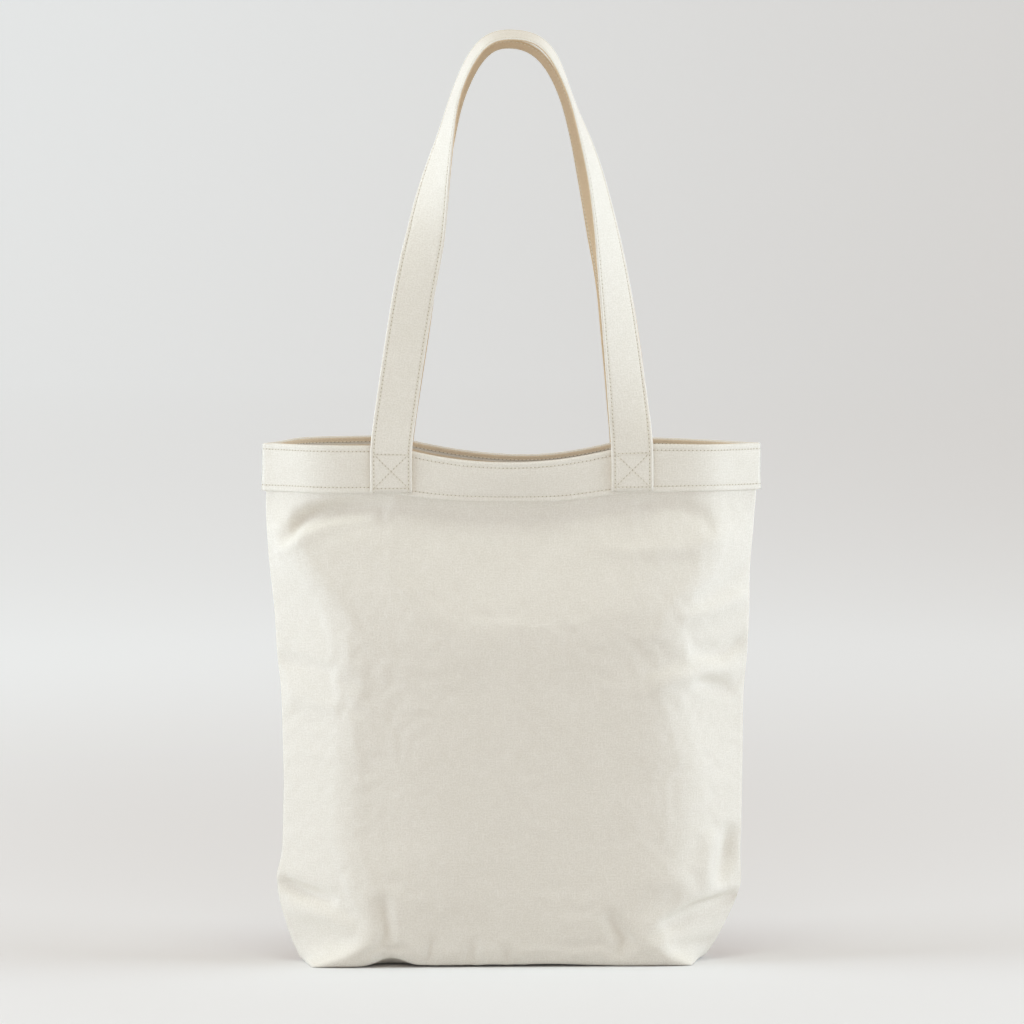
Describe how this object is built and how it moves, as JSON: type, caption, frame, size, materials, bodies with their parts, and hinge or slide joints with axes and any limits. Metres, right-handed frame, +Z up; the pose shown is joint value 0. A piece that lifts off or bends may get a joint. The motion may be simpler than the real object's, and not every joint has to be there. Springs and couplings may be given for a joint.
{
  "type": "canvas tote bag",
  "caption": "Open-topped cotton canvas tote bag with a boxed bottom, a stitched hem band and two long shoulder handles that swing over the rim.",
  "frame": {"origin": "on the floor under the middle of the base", "axes": "+Z up, +X along the bag's width to the right as seen from the front, -Y towards the viewer of the front panel"},
  "size_m": [0.3844, 0.1, 0.7171],
  "materials": {
    "canvas": "plain woven natural cotton, matt",
    "hem_canvas": "plain woven natural cotton, two layers, matt",
    "webbing": "folded canvas strap, matt",
    "seam_binding": "raw canvas edges bound with thread, matt",
    "thread": "twisted cotton sewing thread, matt"
  },
  "bodies": {
    "bag": {"front_panel": "canvas", "back_panel": "canvas", "front_hem_band": "hem_canvas", "back_hem_band": "hem_canvas", "front_left_strap_end": "webbing", "front_right_strap_end": "webbing", "back_left_strap_end": "webbing", "back_right_strap_end": "webbing", "front_left_box_stitching": "thread", "front_right_box_stitching": "thread", "back_left_box_stitching": "thread", "back_right_box_stitching": "thread", "front_upper_hem_stitching": "thread", "front_lower_hem_stitching": "thread", "back_upper_hem_stitching": "thread", "back_lower_hem_stitching": "thread", "left_side_seam": "seam_binding", "right_side_seam": "seam_binding", "left_corner_seam": "seam_binding", "right_corner_seam": "seam_binding", "bottom_seam": "seam_binding"},
    "front_handle_loop": {"front_handle": "webbing", "front_handle_stitching": "thread"},
    "back_handle_loop": {"back_handle": "webbing", "back_handle_stitching": "thread"}
  },
  "joints": [
    {"name": "front_handle_swing", "type": "hinge", "parent": "bag", "child": "front_handle_loop", "pos_m": [0, -0.042, 0.4], "axis": [1, 0, 0], "range_deg": [0, 165]},
    {"name": "back_handle_swing", "type": "hinge", "parent": "bag", "child": "back_handle_loop", "pos_m": [0, 0.042, 0.4], "axis": [-1, 0, 0], "range_deg": [0, 165]}
  ]
}
